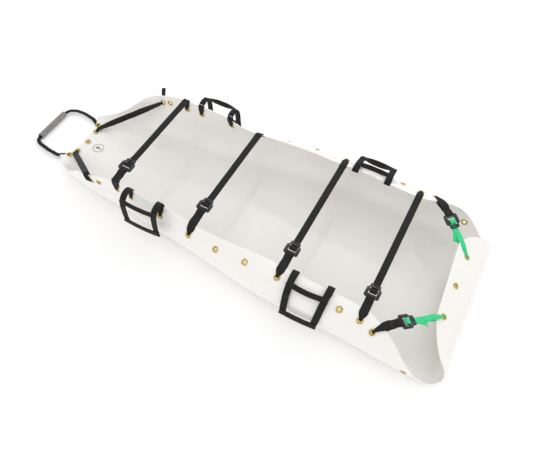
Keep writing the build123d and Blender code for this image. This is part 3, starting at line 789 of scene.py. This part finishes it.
# ---------------------------------------------------------------- drag handle
DRAG_Z, DRAG_WEB = 15.0, 18.0
DRAG_HINGE_X, DRAG_TUBE_X = -1000.0, -1145.0
DRAG_PATH = ((DRAG_HINGE_X, 132), (-1060, 142), (-1104, 140), (-1134, 124), (DRAG_TUBE_X, 98),
             (DRAG_TUBE_X, -98), (-1138, -116), (-1118, -128), (-1060, -140), (DRAG_HINGE_X, -146))
web("drag_loop", [Vector((x, y, DRAG_Z)) for x, y in DRAG_PATH], DRAG_WEB, THIN_WEB, normal=UP,
    thickness=2.0, rounds=8, slot="thin_webbing", body="drag_handle", replaces=("drag_handle_webbing",))
tube_place = Matrix.Translation((DRAG_TUBE_X, 0, DRAG_Z)) @ Matrix.Rotation(radians(90), 4, "X")
tube_wall = rounded(((14, -91), (14, 91), (10.6, 91), (10.6, -91)), 1.0)
lathe("drag_tube_sleeve", [tube_place], tube_wall, TUBE, 56, slot="tube_plastic", body="drag_tube",
      replaces=("drag_handle_tube_grip",))
for side, name in ((-1, "drag_handle_anchor_left"), (1, "drag_handle_anchor_right")):
    start = (HEAD_GROMMETS[3][0], side * HEAD_GROMMETS[3][1])
    slant = Vector((-0.87, side * 0.5, 0)).normalized()
    origin = sheet_point(*start)
    across = slant.cross(UP).normalized()
    tip = Vector((DRAG_HINGE_X - 4, 132 if side > 0 else -146, DRAG_Z))
    below = leg(start, (-0.87, 0.5), 20, 3.0, origin, across)
    web(name + "_web", [origin, *below, tip], DRAG_WEB, THIN_WEB, across=across, gather=((0, 10, 20),),
        step=2.0, rounds=3, thickness=1.8, seed=side, slot="thin_webbing", replaces=(name,))

# ---------------------------------------------------------------- head lashing straps
LASHING_WIDTH = 27.0
LASHINGS = ((-1, "head_lashing_left", -700), (1, "head_lashing_right", SHOULDER_STATIONS[0] - 10))
for side, name, station in LASHINGS:
    head_place = (HEAD_GROMMETS[1][0], side * HEAD_GROMMETS[1][1])
    head_end = sheet_point(head_place[0] + 4, side * (HEAD_GROMMETS[1][1] + 24), -10)
    shoulder_place = side_place(SHOULDER_STATIONS[0], side, SHOULDER_INSET)
    if side < 0:
        over_edge = ((station, -12, -3), (station + 10, -4, 5), (station + 16, 18, 5))
        far = [sheet_point(*side_place(s, side, inset), lift) for s, inset, lift in over_edge]
        far.append(sheet_point(*shoulder_place, 5))
    else:
        far = [sheet_point(*side_place(station, side, SHOULDER_INSET), -16), sheet_point(*shoulder_place, -4)]
    level = far[0] - head_end
    across = Vector((level.x, level.y, 0)).normalized().cross(UP)
    web(name + "_web", [sheet_point(*head_place, -4), head_end, *far], LASHING_WIDTH, THIN_WEB,
        across=across, gather=((0, 10, 22), (1, 10, 22)), seed=side + 4, twist=62 if side > 0 else 12,
        slot="thin_webbing", replaces=(name,))
tail_places = ((SHOULDER_STATIONS[0], SHOULDER_INSET, 4), (-684, 6, 8), (-688, -14, 14), (-694, -28, 26))
tail_line = [sheet_point(*side_place(s, 1, inset), lift) for s, inset, lift in tail_places]
web("head_lashing_tail", tail_line, 20.0, THIN_WEB, across=X_AXIS, gather=((0, 10, 22),), seed=8,
    slot="thin_webbing")

# ---------------------------------------------------------------- stage, lights and camera
FLOOR_Z = min(0.0, CAD_BOX[0][2]) - 0.0004
FLOOR_REACH = 9


def stage_material():
    n = Nodes("studio_floor")
    place = n.add("ShaderNodeTexCoord").outputs["Object"]
    cloud = n.noise(place, 1.5, 3)
    colour = n.ramp(cloud, ((0.3, (0.93, 0.93, 0.93)), (0.7, (0.95, 0.95, 0.95))))
    return n.finish(Base_Color=colour, Roughness=0.9, Emission_Color=(1, 1, 1, 1), Emission_Strength=0.1)


floor_mesh = bpy.data.meshes.new("studio_floor")
floor_corners = [(x * FLOOR_REACH, y * FLOOR_REACH, FLOOR_Z) for x, y in ((-1, -1), (1, -1), (1, 1), (-1, 1))]
floor_mesh.from_pydata(floor_corners, [], [(0, 1, 2, 3)])
floor_mesh.materials.append(stage_material())
floor_piece = bpy.data.objects.new("studio_floor", floor_mesh)
bpy.context.collection.objects.link(floor_piece)

world = bpy.data.worlds.new("studio")
bpy.context.scene.world = world
world.use_nodes = True
world.node_tree.nodes["Background"].inputs["Color"].default_value = (1.0, 1.0, 1.0, 1)
world.node_tree.nodes["Background"].inputs["Strength"].default_value = 0.985


def softbox(name, place, target, size, power, colour=(1, 1, 1)):
    light = bpy.data.lights.new(name, "AREA")
    light.shape = "RECTANGLE"
    light.size, light.size_y = size
    light.energy = power
    light.color = colour
    box = bpy.data.objects.new(name, light)
    box.location = place
    box.rotation_euler = (Vector(target) - Vector(place)).to_track_quat("-Z", "Y").to_euler()
    bpy.context.collection.objects.link(box)


softbox("key", (-1.2, -2.2, 3.0), (0, 0, 0), (2.6, 1.2), 3)
softbox("rear", (0.1, 2.9, 2.15), (0, 0, 0.1), (3.2, 0.14), 22)
softbox("side", (3.2, -0.6, 2.2), (0, 0, 0.1), (1.6, 1.2), 4)
bpy.context.scene.view_settings.view_transform = "Standard"

CAMERA_AZIMUTH, CAMERA_ELEVATION, CAMERA_ROLL = radians(22.7), radians(53.6), radians(5.4)
CAMERA_TARGET, CAMERA_DISTANCE, CAMERA_LENS = Vector((0.115, -0.195, 0.2)), 2.538, 42.69
back = Vector((sin(CAMERA_AZIMUTH) * cos(CAMERA_ELEVATION), -cos(CAMERA_AZIMUTH) * cos(CAMERA_ELEVATION),
               sin(CAMERA_ELEVATION)))
right = Vector((cos(CAMERA_AZIMUTH), sin(CAMERA_AZIMUTH), 0))
up = back.cross(right)
image_right = right * cos(CAMERA_ROLL) + up * sin(CAMERA_ROLL)
image_up = up * cos(CAMERA_ROLL) - right * sin(CAMERA_ROLL)
camera = bpy.data.objects.new("camera", bpy.data.cameras.new("camera"))
camera.data.lens = CAMERA_LENS
camera.matrix_world = Matrix((image_right, image_up, back)).transposed().to_4x4()
camera.location = CAMERA_TARGET + back * CAMERA_DISTANCE
bpy.context.collection.objects.link(camera)
bpy.context.scene.camera = camera
